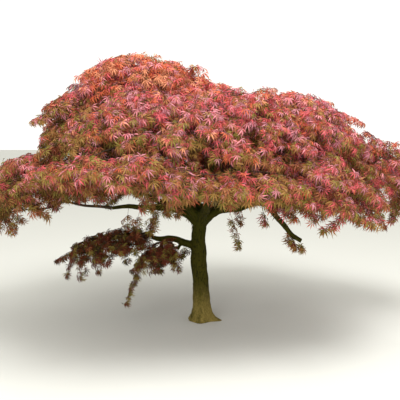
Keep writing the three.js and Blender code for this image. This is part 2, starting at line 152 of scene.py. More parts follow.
# Tiers of the crown. Each mass is a pad: inner and reach are its ends measured from the tier's axis,
# arch is how far its middle stands over the line between them, side_fall how far its flanks hang,
# half_width and half_depth its size across and droop the fall of its sprays. floor is the lowest share
# of the half depth that its twigs end at, at its two ends. heart is the point that its own space is
# drawn around: a distance from the axis and a height. sprays is the number of its sprays and spray
# their size, leaves the share of its carrier's length at which its bough leaves it, climb how steeply
# that bough climbs away, leaf the size of its leaves and tints the tier whose tints it takes.
TIERS = {
    "top": dict(
        axis=(-0.41, 0.0), inner=0.06, arch=0.15, side_fall=0.13, half_width=0.56, half_depth=0.15,
        droop=0.5, heart=(0.26, 2.06), sprays=84, spray=1.0,
    ),
    "upper": dict(
        axis=(0.0, 0.0), inner=0.48, arch=0.22, side_fall=0.15, half_width=0.70, half_depth=0.20,
        droop=0.55, heart=(1.06, 1.68), sprays=96, spray=1.0, leaves=0.3,
    ),
    "lower": dict(
        axis=(0.0, 0.0), inner=0.74, arch=0.24, side_fall=0.10, half_width=0.64, half_depth=0.20,
        droop=0.5, heart=(1.12, 1.04), sprays=90, spray=1.0, climb=1.0,
    ),
    "low": dict(
        axis=(0.0, 0.0), inner=0.42, arch=0.05, side_fall=0.04, half_width=0.26, half_depth=0.075,
        droop=0.35, heart=(0.80, 0.70), sprays=90, spray=0.55, leaf=0.85,
    ),
}
FRONT_PAD = dict(arch=0.10, half_depth=0.14, droop=0.3)

# One row for each mass: tier, place, heading, reach, the heights of its two ends and what differs
CROWN = (
    ("lower", "left", 187, 1.79, 0.96, 0.86, dict(
        arch=0.06, side_fall=-0.10, climb=1.2, half_depth=0.50, floor=(0.45, 0), droop=0.6,
    )),
    ("lower", "front_left", 234, 1.38, 1.31, 1.37, dict(**FRONT_PAD, heart=(1.12, 1.13))),
    ("lower", "front", 280, 1.20, 1.25, 1.27, dict(**FRONT_PAD, heart=(1.12, 0.99))),
    ("lower", "front_right", 324, 1.36, 1.14, 1.08, {}),
    ("lower", "right", 7, 1.79, 1.14, 1.19, dict(climb=1.2)),
    ("lower", "back_right", 51, 1.50, 1.13, 1.00, {}),
    ("lower", "back", 96, 1.32, 1.13, 1.00, {}),
    ("lower", "back_left", 142, 1.42, 1.12, 1.06, dict(floor=(-0.6, -0.5))),
    ("upper", "left", 178, 1.19, 1.64, 1.52, dict(arch=0.33)),
    ("upper", "front_left", 231, 1.15, 1.56, 1.36, {}),
    ("upper", "front", 284, 1.08, 1.54, 1.36, {}),
    ("upper", "right", 341, 1.22, 1.51, 1.38, {}),
    ("upper", "back_right", 43, 1.39, 1.68, 1.60, dict(arch=0.14, tints="top")),
    ("upper", "back", 112, 1.17, 1.61, 1.48, {}),
    ("top", "front", 230, 0.52, 1.92, 1.85, {}),
    ("top", "back", 50, 0.52, 1.91, 1.83, dict(side_fall=0.28, leaves=0.72)),
    ("top", "right", 352, 0.80, 1.77, 1.66, dict(
        inner=0.17, arch=0.13, heart=(0.43, 1.90), leaves=0.58,
    )),
    ("low", "left", 183, 1.10, 0.71, 0.59, {}),
    ("low", "inner", 190, 0.56, 0.62, 0.56, dict(
        inner=0.23, half_width=0.19, half_depth=0.09, droop=0.8, heart=(0.45, 0.28), sprays=36,
        leaves=0.3, climb=-0.3,
    )),
)
CARRIERS = {"top": "top_front", "low": "low_left"}

# Stem, twigs and sprays of a mass, and the pairs of leaves on their shoots. A size that varies is given
# as its two ends, and joint and node are where in its step a joint or a pair stands.
STEM = Sizes(
    share=0.62, shares=(0, 0.18, 0.36, 0.56, 0.78, 1), wander=0.045, tip=0.007, joints=11, joint=0.6,
    points=24,
)
TWIG = Sizes(
    carries=0.6, thickest=0.0055, thinnest=0.0022, lift=0.05, arches=0.3, steps=6, droops=(0.6, 1.4),
    joints=(0.45, 0.8), long_joints=(0.5,), passes_on=0.55, leafy=2,
)
SPRAY = Sizes(
    length=0.20, varies=(0.8, 1.2), width=0.105, shoulder=0.42, base_reach=0.5, tip_reach=0.2, fall=0.12,
    gap=0.055, node=0.6, tilt=0.2, thick=0.0020, thin=0.0009, steps=4,
    turns=(0, 0.5, -0.5, 1.0, -1.0, 1.6, -1.6),
)
SHOOT = Sizes(
    forward=0.65, leans=(0.7, 1.2), across=0.76, lift=(-0.15, 0.1), varies=(0.75, 1.2), fall=0.25,
    thick=0.0011, thin=0.0006, steps=1, gap=0.042, node=0.45,
)
LEAF_PAIR = Sizes(ahead=(0.4, 0.9), across=0.8, lift=(-0.2, 0.2))
SPACE_MARGIN = 0.02
LIMB_MARGIN = 0.035
TRIES = 8

# Points that the twigs of a mass grow to: first the pad's tip, flanks and crest, as shares of its length,
# half width and half depth, then the steps of an even sequence in three directions
PAD_ENDS = ((1, 0, 0), (0.86, 0.55, 0), (0.86, -0.55, 0), (0.4, 0, 1))
SEQUENCE = np.array([0.8191725134, 0.6710436067, 0.5497004779])
SCATTER = Sizes(low_power=1.5, rim_thin=0.7, floor=(-1, -1))

# Thin twigs that hang under a limb, or under the branch nearest to the middle of a pad: the mass that they
# belong to and what they leave, and for each its share of the way along that, its heading and its length
SPRIG = Sizes(steps=6, spread=0.4, bend=1.4, thick=0.0022, thin=0.0008, bare=2, width=0.065)
SPRIGS = (
    ("lower_right", "lower_right_bough", ((0.31, 330, 0.34),)),
    ("lower_right", "pad", (
        (0.70, 300, 0.30), (0.78, 320, 0.32), (0.86, 270, 0.38), (0.92, 240, 0.40),
        (0.97, 280, 0.42), (1.00, 250, 0.40), (1.00, 195, 0.38),
    )),
    ("lower_front_right", "lower_front_right_bough", ((0.72, 320, 0.16),)),
    ("lower_front_right", "bare_bough", ((0.55, 20, 0.12), (0.75, 340, 0.10), (0.95, 10, 0.07))),
    ("lower_left", "lower_left_bough", ((0.55, 250, 0.20), (0.68, 220, 0.22), (0.82, 260, 0.16))),
    ("lower_back", "lower_back_bough", ((0.5, 80, 0.24), (0.7, 110, 0.20))),
    ("lower_back_left", "lower_back_left_bough", ((0.6, 150, 0.24),)),
    ("lower_back_right", "lower_back_right_bough", ((0.6, 40, 0.22),)),
    ("lower_front_left", "lower_front_left_bough", (
        (0.42, 240, 0.12), (0.52, 200, 0.15), (0.62, 250, 0.18), (0.74, 190, 0.22), (0.88, 215, 0.26),
    )),
    ("low_left", "low_left_bough", (
        (0.35, 290, 0.08), (0.55, 200, 0.10), (0.75, 260, 0.12), (0.95, 230, 0.14),
    )),
    ("low_left", "pad", (
        (0.12, 300, 0.16), (0.28, 230, 0.18), (0.45, 250, 0.16), (0.68, 280, 0.24),
        (0.80, 250, 0.26), (0.92, 200, 0.22),
    )),
    ("low_inner", "pad", ((0.1, 320, 0.18), (0.5, 260, 0.20), (0.85, 170, 0.28), (1.0, 185, 0.36))),
)

# Thin twigs under the front rim of the upper tier: their masses, shares along and across a pad, and length
FRINGE = Sizes(
    masses=("upper_front_left", "upper_front", "upper_right"),
    along=0.9,
    across=(-0.85, -0.6, -0.35, -0.1, 0.15, 0.4, 0.65, 0.9),
    length=0.17,
    varies=(0.7, 1.3),
)

# Lobes of a leaf: angle from its middle, length as a share of the middle one, and roll, in degrees
LOBES = ((0, 1.0, 12), (32, 0.95, -38), (-34, 0.9, 42), (68, 0.76, 28), (-66, 0.8, -26))
LEAF = Sizes(
    half_width=0.072, shoulder=0.5, curl=0.16, sag=0.1, upward=0.9, outward=0.5, flutter=0.35,
    varies=(0.8, 1.2),
)
LEAF_DROOPS = (28, 45, 60, 76)

# Light and shade painted into the leaves' tints: brightest seen from the crown's middle, towards way, and on
# top of each pad
PAINTED_SUN = Sizes(middle=(0, 0, 1.35), way=(0.35, -0.1, 0.9), reach=1.8, depth=0.8)

# Leaves of a spray that stray from its tint: their share, and how much of the painted light they get
STRAYS = Sizes(share=0.85, lit=0.95)

# Tints of the leaves, and their shares in each tier: in painted light, on top of a pad, and in painted shade
# under it
TINTS = (
    "crimson", "rose", "scarlet", "coral", "mauve", "russet", "bronze", "olive", "maroon", "umber"
)
TINT_SHARES = {
    "top": (
        dict(crimson=3, rose=2, scarlet=4, coral=5, mauve=1, russet=1, bronze=1),
        dict(scarlet=2, russet=4, bronze=3, olive=1, maroon=1),
    ),
    "upper": (
        dict(crimson=6, rose=4, scarlet=2, coral=1, mauve=4, russet=2, bronze=3, olive=1),
        dict(russet=4, bronze=5, olive=4, maroon=1, umber=1),
    ),
    "lower": (
        dict(crimson=6, rose=2, scarlet=1, mauve=3, russet=5, bronze=4, olive=1),
        dict(russet=3, bronze=6, olive=5, maroon=2, umber=1),
    ),
    "low": (
        dict(maroon=6, russet=2, umber=1),
        dict(maroon=5, umber=3, olive=2),
    ),
}

# Stage: half the floor's side, the soft lights and the point that they face
FLOOR_HALF = 60.0
KEY = Sizes(place=(1.2, -2.2, 6.0), size=3.0)
FILL = Sizes(place=(-2.5, -6.5, 3.2), size=4.0)
LIGHT_TARGET = (0, 0, 1.2)


def outward(heading):
    """Level direction of a heading."""
    angle = math.radians(heading)
    return np.array([math.cos(angle), math.sin(angle), 0.0])


def sideways(heading):
    """Level direction across a heading."""
    return outward(heading + 90)


def unit(vectors):
    """Vectors made one metre long."""
    return vectors / np.linalg.norm(vectors, axis=-1, keepdims=True)


def lerp(low, high, share):
    """Value at a share of the way from low to high."""
    return low + (high - low) * share


# Routes


def seeded_random(seed):
    """Function that gives numbers from 0 to 1, the same on every run: the mulberry32 generator."""
    mask = 0xFFFFFFFF
    state = seed

    def draw():
        nonlocal state
        state = (state + 0x6D2B79F5) & mask
        mixed = ((state ^ (state >> 15)) * (state | 1)) & mask
        mixed ^= (mixed + (mixed ^ (mixed >> 7)) * (mixed | 61)) & mask
        return (mixed ^ (mixed >> 14)) / 2**32

    return draw


def spline(points, per_span=24):
    """Dense line through points, a centripetal Catmull-Rom spline."""
    points = np.asarray(points, float)
    ends = np.vstack([2 * points[0] - points[1], points, 2 * points[-1] - points[-2]])
    share = np.linspace(0, 1, per_span, endpoint=False)[:, None]
    spans = []
    for a, b, c, d in zip(ends, ends[1:], ends[2:], ends[3:]):
        before, here, after = (math.sqrt(np.linalg.norm(q - p)) for p, q in ((a, b), (b, c), (c, d)))
        leaving = ((b - a) / before - (c - a) / (before + here) + (c - b) / here) * here
        arriving = ((c - b) / here - (d - b) / (here + after) + (d - c) / after) * here
        square = 3 * (c - b) - 2 * leaving - arriving
        cube = 2 * (b - c) + leaving + arriving
        spans.append(b + share * leaving + share**2 * square + share**3 * cube)
    return np.vstack([*spans, points[-1:]])


def evenly(line, count):
    """Points at even distances along a line."""
    steps = np.linalg.norm(np.diff(line, axis=0), axis=1)
    lengths = np.concatenate([[0], np.cumsum(steps)])
    at = np.linspace(0, lengths[-1], count)
    return np.stack([np.interp(at, lengths, line[:, axis]) for axis in range(3)], axis=1)


def directions(line):
    """Direction of a line at each of its points."""
    return unit(np.gradient(line, axis=0))


# Limbs


def trunk_axis(height):
    """Middle of the trunk at a height."""
    share = height / TRUNK.kink_height
    return np.array([TRUNK.lean * math.sin(share * share * TRUNK.bend), 0.0, height])


def limb_line(start, leaving, end, arriving, wander, seed):
    """Route of a limb that leaves and arrives along given directions and wanders between."""
    draw = seeded_random(seed)
    span = np.linalg.norm(end - start)
    near = start + unit(np.asarray(leaving, float)) * span * ROUTE.handle
    far = end - unit(np.asarray(arriving, float)) * span * ROUTE.handle
    share = np.linspace(0, 1, ROUTE.samples)[:, None]
    curve = (
        (1 - share) ** 3 * start + 3 * (1 - share) ** 2 * share * near
        + 3 * (1 - share) * share**2 * far + share**3 * end
    )
    points = evenly(curve, ROUTE.points)
    for i in range(2, ROUTE.points - 1):
        points[i] += np.array([draw() - 0.5, draw() - 0.5, draw() - 0.5]) * 2 * wander
    return evenly(spline(points), LIMB_POINTS)


def at_share(line, share):
    """Point of an even line at a share of its length."""
    at = share * (len(line) - 1)
    low = min(int(at), len(line) - 2)
    return lerp(line[low], line[low + 1], at - low)


def make_pads():
    """The pads of all masses, by name."""
    pads = {}
    for index, (tier, place, heading, reach, rise, rim, extras) in enumerate(CROWN):
        sizes = {**TIERS[tier], **extras}
        axis = np.array([*sizes.pop("axis"), 0.0])
        radius, height = sizes.pop("heart")
        heart = axis + outward(heading) * radius + UP * height
        name = f"{tier}_{place}"
        pads[name] = Sizes(
            name=name, index=index, tier=tier, place=place, heading=heading, reach=reach, rise=rise,
            rim=rim, axis=axis, heart=heart, **sizes,
        )
    return pads


PADS = make_pads()
HEARTS = np.array([pad.heart for pad in PADS.values()])


def pad_point(pad, along, side, deep):
    """Point of a pad at shares of its length, half width and half depth."""
    height = lerp(pad.rise, pad.rim, along) + pad.arch * 4 * along * (1 - along)
    height += pad.half_depth * deep - pad.side_fall * side * side
    out = outward(pad.heading) * lerp(pad.inner, pad.reach, along)
    return pad.axis + out + sideways(pad.heading) * pad.half_width * side + UP * height


def make_limbs():
    """Line, radii and heading of every limb, by name, the carriers first."""
    limbs = {}

    def add_bough(pad, sizes, start, leaving, seed):
        end = pad_point(pad, 0, 0, 0)
        arriving = pad_point(pad, ROUTE.sight, 0, 0) - end
        line = limb_line(start, leaving, end, arriving, sizes.wander, seed)
        limbs[f"{pad.name}_bough"] = Sizes(line=line, sizes=sizes, heading=pad.heading)

    for pad in PADS.values():
        if pad.tier == "lower":
            start = trunk_axis(FORK.height + (pad.index % 2) * FORK.stagger)
            leaving = outward(pad.heading) + UP * pad.climb
            add_bough(pad, PRIMARY, start, leaving, SEEDS.primary + pad.index)
    leader_start = trunk_axis(FORK.height + FORK.leader_rise)
    add_bough(PADS["top_front"], LEADER, leader_start, LEADER.leaving, SEEDS.leader)
    low_start = trunk_axis(LOW_BOUGH.height)
    add_bough(PADS["low_left"], LOW_BOUGH, low_start, LOW_BOUGH.leaving, SEEDS.low)
    for pad in PADS.values():
        if f"{pad.name}_bough" in limbs:
            continue
        carrier = limbs[f"{CARRIERS.get(pad.tier, 'lower_' + pad.place)}_bough"].line
        climb = getattr(pad, "climb", SECONDARY.climb)
        leaving = at_share(directions(carrier), pad.leaves) + UP * climb
        add_bough(pad, SECONDARY, at_share(carrier, pad.leaves), leaving, SEEDS.secondary + pad.index)
    carrier = limbs["lower_front_right_bough"].line
    leaving = at_share(directions(carrier), BARE_BOUGH.leaves) + UP * BARE_BOUGH.climb
    start = at_share(carrier, BARE_BOUGH.leaves)
    line = limb_line(start, leaving, np.array(BARE_END), BARE_ARRIVING, BARE_BOUGH.wander, SEEDS.bare)
    limbs["bare_bough"] = Sizes(line=line, sizes=BARE_BOUGH, heading=BARE_HEADING)
    return limbs


LIMBS = make_limbs()


def limb_radii(limb):
    """Radius of a limb at each point of its line."""
    share = np.linspace(0, 1, len(limb.line))
    return lerp(limb.sizes.base, limb.sizes.tip, share**ROUTE.thinning)


WOOD_LINE = np.vstack([limb.line for limb in LIMBS.values()])
WOOD_RADII = np.concatenate([limb_radii(limb) for limb in LIMBS.values()])


# Growth of a mass


def scatter(pad, k):
    """Point that the k-th twig of a mass grows to: its tip, flanks and crest, then an even scatter."""
    if k < len(PAD_ENDS):
        return pad_point(pad, *PAD_ENDS[k])
    a, b, c = (0.5 + k * SEQUENCE) % 1
    ring = math.sqrt(a)
    turn = 2 * math.pi * b
    along = 0.5 + 0.5 * ring * math.cos(turn)
    floor = lerp(*getattr(pad, "floor", SCATTER.floor), along)
    level = lerp(1, floor, c**SCATTER.low_power)
    return pad_point(pad, along, ring * math.sin(turn), level * math.sqrt(1 - SCATTER.rim_thin * a))


def keeps_to_space(pad, points):
    """Whether points lie in a mass's own space and clear of the limbs."""
    others = HEARTS[np.any(HEARTS != pad.heart, axis=1)]
    away = unit(others - pad.heart)
    middles = (others + pad.heart) / 2
    left = ((middles[None] - points[:, None]) * away[None]).sum(axis=2)
    if left.min() < SPACE_MARGIN:
        return False
    gaps = np.linalg.norm(points[:, None] - WOOD_LINE[None], axis=2) - WOOD_RADII[None]
    return gaps.min() > LIMB_MARGIN


def spray_rib(start, ahead, length):
    """Middle of a spray: a twig that leaves along ahead and bends down."""
    share = np.linspace(0, 1, SPRAY.steps + 1)[:, None]
    return start + ahead * length * share - UP * length * SPRAY.fall * share**2


def turned(direction, angle):
    """Direction turned about the vertical."""
    c, s = math.cos(angle), math.sin(angle)
    x, y, z = direction
    return np.array([c * x - s * y, s * x + c * y, z])


def side_shoots(rib, width, rng):
    """Side shoots of a spray in opposite pairs, each as a line of points."""
    length = np.linalg.norm(np.diff(rib, axis=0), axis=1).sum()
    count = max(2, round(length / SPRAY.gap))
    ways = directions(rib)
    tilt = rng.uniform(-SPRAY.tilt, SPRAY.tilt)
    shoots = []
    for node in range(count):
        share = (node + SPRAY.node) / count
        base = at_share(rib, share)
        ahead = unit(at_share(ways, share))
        level = unit(np.cross(ahead, UP))
        if share < SPRAY.shoulder:
            reach = lerp(SPRAY.base_reach, 1, share / SPRAY.shoulder)
        else:
            reach = lerp(1, SPRAY.tip_reach, (share - SPRAY.shoulder) / (1 - SPRAY.shoulder))
        for side in (-1, 1):
            across = side * (level + UP * tilt) + UP * rng.uniform(*SHOOT.lift)
            way = unit(ahead * SHOOT.forward * rng.uniform(*SHOOT.leans) + across * SHOOT.across)
            long = width * reach * rng.uniform(*SHOOT.varies)
            steps = np.linspace(0, 1, SHOOT.steps + 1)[:, None]
            shoots.append(base + way * long * steps - UP * long * SHOOT.fall * steps**2)
    return shoots


def leaf_places(line, rng):
    """Places and directions of the leaves of a shoot: opposite pairs and one at its end."""
    length = np.linalg.norm(np.diff(line, axis=0), axis=1).sum()
    count = max(1, round(length / SHOOT.gap))
    ways = directions(line)
    places = [line[-1]]
    aheads = [ways[-1]]
    for node in range(count):
        share = (node + SHOOT.node) / count
        base = at_share(line, share)
        way = unit(at_share(ways, share))
        level = unit(np.cross(way, UP))
        for side in (-1, 1):
            forward = way * rng.uniform(*LEAF_PAIR.ahead)
            places.append(base)
            aheads.append(forward + level * side * LEAF_PAIR.across + UP * rng.uniform(*LEAF_PAIR.lift))
    return np.array(places), unit(np.array(aheads))


def hanging_twig(start, heading, length):
    """Thin twig that leaves along a heading and hangs."""
    share = np.linspace(0, 1, SPRIG.steps + 1)[:, None]
    return start + outward(heading) * length * SPRIG.spread * share - UP * length * share**SPRIG.bend


def stem_line(pad):
    """Middle of a mass's stem, which wanders along the middle of its pad."""
    sway = np.random.default_rng(SEEDS.stem + pad.index)
    knots = np.array([pad_point(pad, STEM.share * share, 0, 0) for share in STEM.shares])
    knots[1:-1] += sway.uniform(-STEM.wander, STEM.wander, knots[1:-1].shape)
    return evenly(spline(knots), STEM.points)


@functools.lru_cache(maxsize=None)
def grow_mass(name):
    """Branches, twigs and sprays of leaves of one mass.

    Each twig leaves the nearest free joint, arches to its point of the pad and goes on as a spray. A
    spray that would leave the mass's space or touch a limb is turned, and left out if that doesn't help.
    """
    pad = PADS[name]
    rng = np.random.default_rng(SEEDS.mass + pad.index)
    bough_tip = LIMBS[f"{name}_bough"].sizes.tip
    stem = stem_line(pad)
    branches = [(stem, lerp(bough_tip, STEM.tip, np.sqrt(np.linspace(0, 1, STEM.points))))]
    twigs = []
    sprays = []
    joints = []

    def add_leaves(rib, width, target):
        shoots = side_shoots(rib, width, rng)
        twigs.extend((shoot, np.linspace(SHOOT.thick, SHOOT.thin, len(shoot))) for shoot in shoots)
        places, aheads = zip(*(leaf_places(shoot, rng) for shoot in [rib[-2:], *shoots]))
        sprays.append((np.vstack(places), np.vstack(aheads), target))

    def nearest_wood(point):
        wood = np.vstack([line for line, _ in branches])
        return wood[np.argmin(np.linalg.norm(wood - point, axis=1))]

    def add_sprig(start, heading, length):
        line = hanging_twig(start, heading, length)
        twigs.append((line, lerp(SPRIG.thick, SPRIG.thin, np.linspace(0, 1, len(line)))))
        add_leaves(line[SPRIG.bare:], SPRIG.width, start)

    for k in range(STEM.joints):
        share = (k + STEM.joint) / STEM.joints
        carries = TWIG.carries * lerp(bough_tip, STEM.tip, math.sqrt(share))
        joints.append((at_share(stem, share), carries))
    for k in range(TRIES * pad.sprays):
        if len(sprays) >= pad.sprays:
            break
        target = scatter(pad, k)
        nearest = min(range(len(joints)), key=lambda i: np.linalg.norm(joints[i][0] - target))
        start, carries = joints[nearest]
        reach = np.linalg.norm(target - start)
        steps = np.linspace(0, 1, TWIG.steps + 1)[:, None]
        arch = TWIG.lift * reach * (reach > TWIG.arches)
        line = lerp(start, target, steps) + UP * arch * 4 * steps * (1 - steps)
        droop = pad.droop * rng.uniform(*TWIG.droops)
        length = SPRAY.length * pad.spray * rng.uniform(*SPRAY.varies)
        level = (target - start) * np.array([1, 1, 0])
        for turn in SPRAY.turns:
            ahead = unit(turned(unit(level), turn) - UP * droop)
            rib = spray_rib(target, ahead, length)
            if keeps_to_space(pad, rib):
                break
        else:
            continue
        joints.pop(nearest)
        base = min(max(carries, TWIG.thinnest), TWIG.thickest)
        for share in TWIG.long_joints if reach > TWIG.arches else TWIG.joints:
            joints.append((at_share(line, share), base * TWIG.passes_on))
        branches.append((line, lerp(base, SPRAY.thick, np.linspace(0, 1, len(line)))))
        twigs.append((rib, lerp(SPRAY.thick, SPRAY.thin, np.linspace(0, 1, len(rib)))))
        leafy_end = line[-1 - TWIG.leafy:-1]
        add_leaves(np.vstack([leafy_end, rib]), SPRAY.width * length / SPRAY.length, target)
    for mass, carrier, rows in SPRIGS:
        for share, heading, length in rows if mass == name else ():
            if carrier == "pad":
                start = nearest_wood(pad_point(pad, share, 0, 0))
            else:
                start = at_share(LIMBS[carrier].line, share)
            add_sprig(start, heading, length)
    if name in FRINGE.masses:
        for across in FRINGE.across:
            start = nearest_wood(pad_point(pad, FRINGE.along, across, 0))
            add_sprig(start, pad.heading, FRINGE.length * rng.uniform(*FRINGE.varies))
    return Sizes(pad=pad, branches=branches, twigs=twigs, sprays=sprays)


# Meshes


def new_object(name, data):
    """Object of a mesh, light or camera, in the scene."""
    obj = bpy.data.objects.new(name, data)
    bpy.context.scene.collection.objects.link(obj)
    return obj


def mesh_of(name, points, faces=(), edges=()):
    """Mesh of given points and faces or edges."""
    mesh = bpy.data.meshes.new(name)
    mesh.from_pydata(np.asarray(points).tolist(), [tuple(e) for e in edges], [tuple(f) for f in faces])
    mesh.validate()
    return mesh


def settle(obj):
    """Turns what an object's modifiers make into its own plain mesh."""
    bpy.context.view_layer.update()
    evaluated = obj.evaluated_get(bpy.context.evaluated_depsgraph_get())
    made = bpy.data.meshes.new_from_object(evaluated)
    made.name = obj.name
    obj.modifiers.clear()
    old = obj.data
    obj.data = made
    bpy.data.meshes.remove(old)
    return obj


def set_attribute(mesh, name, kind, values):
    """Gives a mesh's points an attribute."""
    field = {"FLOAT_VECTOR": "vector"}.get(kind, "value")
    mesh.attributes.new(name, kind, "POINT").data.foreach_set(field, np.asarray(values).ravel())


def tube(line, radii, sides, across):
    """Points and faces of a closed tube along a line, with one radius a point, or one a point and side."""
    ways = directions(line)
    first = unit(across - ways * (ways @ across)[:, None])
    second = np.cross(ways, first)
    angles = 2 * math.pi * np.arange(sides) / sides
    radii = np.broadcast_to(np.asarray(radii).reshape(len(line), -1), (len(line), sides))[..., None]
    cosines, sines = np.cos(angles)[None, :, None], np.sin(angles)[None, :, None]
    ring = first[:, None] * cosines + second[:, None] * sines
    points = (line[:, None] + radii * ring).reshape(-1, 3)
    faces = [tuple(range(sides))[::-1]]
    for i in range(len(line) - 1):
        for k in range(sides):
            a, b = i * sides + k, i * sides + (k + 1) % sides
            faces.append((a, b, b + sides, a + sides))
    last = (len(line) - 1) * sides
    faces.append(tuple(last + k for k in range(sides)))
    return points, faces


def add_node(tree, kind, inputs=None, **options):
    """Adds a node, with its options and with values or links for its inputs, by name or number."""
    node = tree.nodes.new(kind)
    for name, value in options.items():
        setattr(node, name, value)
    for key, value in (inputs or {}).items():
        if isinstance(value, bpy.types.NodeSocket):
            tree.links.new(value, node.inputs[key])
        else:
            node.inputs[key].default_value = value
    return node


def new_tree(name, inputs):
    """Geometry tree with a geometry input and output and the named inputs."""
    tree = bpy.data.node_groups.new(name, "GeometryNodeTree")
    tree.interface.new_socket("Geometry", in_out="INPUT", socket_type="NodeSocketGeometry")
    for title, kind in inputs.items():
        tree.interface.new_socket(title, in_out="INPUT", socket_type=kind)
    tree.interface.new_socket("Geometry", in_out="OUTPUT", socket_type="NodeSocketGeometry")
    return tree, tree.nodes.new("NodeGroupInput")


def attribute(tree, name, kind):
    """Output of a node that reads a named attribute."""
    return add_node(tree, "GeometryNodeInputNamedAttribute", {"Name": name}, data_type=kind).outputs[0]


def finish_tree(tree, geometry, materials):
    """Ends a tree: instances made real, and a material for each number of the attribute tint."""
    last = add_node(tree, "GeometryNodeRealizeInstances", {"Geometry": geometry}).outputs[0]
    tint = attribute(tree, "tint", "INT")
    for number, material in enumerate(materials):
        chosen = add_node(
            tree, "FunctionNodeCompare", {2: tint, 3: number}, data_type="INT", operation="EQUAL"
        )
        inputs = {"Geometry": last, "Selection": chosen.outputs[0], "Material": material}
        last = add_node(tree, "GeometryNodeSetMaterial", inputs).outputs[0]
    add_node(tree, "NodeGroupOutput", {"Geometry": last})


# Attributes that the trees read and the finished meshes don't need
GROWTH_ATTRIBUTES = ("tint", "thickness", "ahead", "face", "size")


def grow_with(obj, tree, values):
    """Runs a geometry tree on an object with the given inputs and keeps the plain mesh."""
    modifier = obj.modifiers.new(tree.name, "NODES")
    modifier.node_group = tree
    for item in tree.interface.items_tree:
        if item.in_out == "INPUT" and item.name in values:
            modifier[item.identifier] = values[item.name]
    settle(obj)
    for name in GROWTH_ATTRIBUTES:
        if name in obj.data.attributes:
            obj.data.attributes.remove(obj.data.attributes[name])
    return obj


# Materials


def linear(red, green, blue):
    """Linear colour of a display colour from 0 to 255."""
    share = np.array([red, green, blue]) / 255
    return tuple(np.where(share <= 0.04045, share / 12.92, ((share + 0.055) / 1.055) ** 2.4))


def colour_property(title, words, colour):
    """Colour setting with a default in display values."""
    return FloatVectorProperty(
        name=title, description=words, default=linear(*colour), subtype="COLOR", size=3, min=0, max=1
    )


def number_property(title, words, default, **limits):
    """Number setting with its unit or limits."""
    return FloatProperty(name=title, description=words, default=default, **limits)


class MapleBark(bpy.types.PropertyGroup):
    """Sizes and colours of the bark."""

    grain: number_property("Grain", "Size of the bark mesh's faces", 0.0055, unit="LENGTH")
    furrow: number_property("Furrow", "Depth of the furrows on the trunk", 0.0022, unit="LENGTH")
    swelling: number_property("Swelling", "Height of the lumps on the trunk", 0.005, unit="LENGTH")
    # Ridge, hollow and pale are olive partly from a painted green bounce, besides the bark's own brown
    # The hollow tint is painted shade in the furrows, and the ridge tint the bark out of that shade
    ridge: colour_property("Ridge", "Dry bark on the ridges", (58, 54, 10))
    hollow: colour_property("Hollow", "Damp bark in the furrows", (25, 23, 4))
    # The pale tint makes paler patches, more of them towards the ground
    pale: colour_property("Pale", "Worn and lichened patches near the ground", (152, 132, 72))
    moss: colour_property("Moss", "Moss about the fork", (48, 56, 10))


class MapleTwigs(bpy.types.PropertyGroup):
    """Sizes and colours of the branches and twigs."""

    thickness: number_property("Thickness", "Factor on the thickness of all twigs", 1.0, min=0.2, max=3)
    branch_sides: IntProperty(name="Branch sides", description="Sides of a branch", default=4, min=3)
    twig_sides: IntProperty(name="Twig sides", description="Sides of a twig", default=3, min=3)
    old: colour_property("Old wood", "Bark of the branches", (66, 50, 34))
    young: colour_property("Young wood", "Bark of the thin twigs", (92, 52, 40))


class MapleLeaves(bpy.types.PropertyGroup):
    """Sizes and colours of the leaves."""

    length: number_property("Length", "Length of a leaf's blade", 0.056, unit="LENGTH")
    seed: IntProperty(name="Seed", description="Choice of leaf shapes", default=4)
    # Crimson, rose and mauve are the tints of painted light, russet, bronze and olive those of painted shade,
    # and umber is painted deep shade.
    # Rose and mauve also hold a painted pale sky highlight, bronze and olive a painted green bounce, each
    # besides the leaves' own colour.
    crimson: colour_property("Crimson", "Leaves in full light", (192, 80, 85))
    rose: colour_property("Rose", "Leaves in full light, paler", (202, 124, 129))
    scarlet: colour_property("Scarlet", "Young leaves at the tips", (196, 94, 60))
    coral: colour_property("Coral", "Young leaves at the crest", (208, 134, 98))
    mauve: colour_property("Mauve", "Older leaves in full light", (178, 114, 124))
    russet: colour_property("Russet", "Leaves in half shade", (148, 86, 54))
    bronze: colour_property("Bronze", "Leaves turning green in the shade", (146, 107, 54))
    olive: colour_property("Olive", "Green leaves deep in the crown", (126, 112, 46))
    maroon: colour_property("Maroon", "Dark leaves of the low bough", (100, 42, 20))
    umber: colour_property("Umber", "Darkest leaves", (60, 45, 11))


class MapleStage(bpy.types.PropertyGroup):
    """Floor, light and camera."""

    floor: colour_property("Floor", "Colour of the floor", (206, 206, 200))
    sky: colour_property("Sky", "Colour of the soft light all round", (240, 239, 234))
    sky_strength: number_property("Sky strength", "Strength of that light", 1.3)
    key_power: number_property("Key", "Power of the light overhead", 340, unit="POWER")
    fill_power: number_property("Fill", "Power of the light in front", 170, unit="POWER")
    eye: FloatVectorProperty(
        name="Eye", description="Place of the camera", default=(-0.0165, -5.0, 1.55),
        subtype="TRANSLATION",
    )
    pitch: number_property(
        "Pitch", "How far the camera looks down", math.radians(6.1), subtype="ANGLE"
    )
    lens: number_property("Lens", "Focal length of the camera in millimetres", 54.54)


def settings(name):
    """One group of the scene's settings."""
    return getattr(bpy.context.scene, f"maple_{name}")


def new_material(name, finish):
    """Material of a given roughness and specular level, and its shader."""
    roughness, specular = finish
    material = bpy.data.materials.new(name)
    material.use_nodes = True
    shader = material.node_tree.nodes["Principled BSDF"]
    shader.inputs["Roughness"].default_value = roughness
    shader.inputs["Specular IOR Level"].default_value = specular
    return material, shader


def plain_material(name, colour, finish):
    """Material of one plain colour."""
    material, shader = new_material(name, finish)
    shader.inputs["Base Color"].default_value = (*colour, 1)
    return material


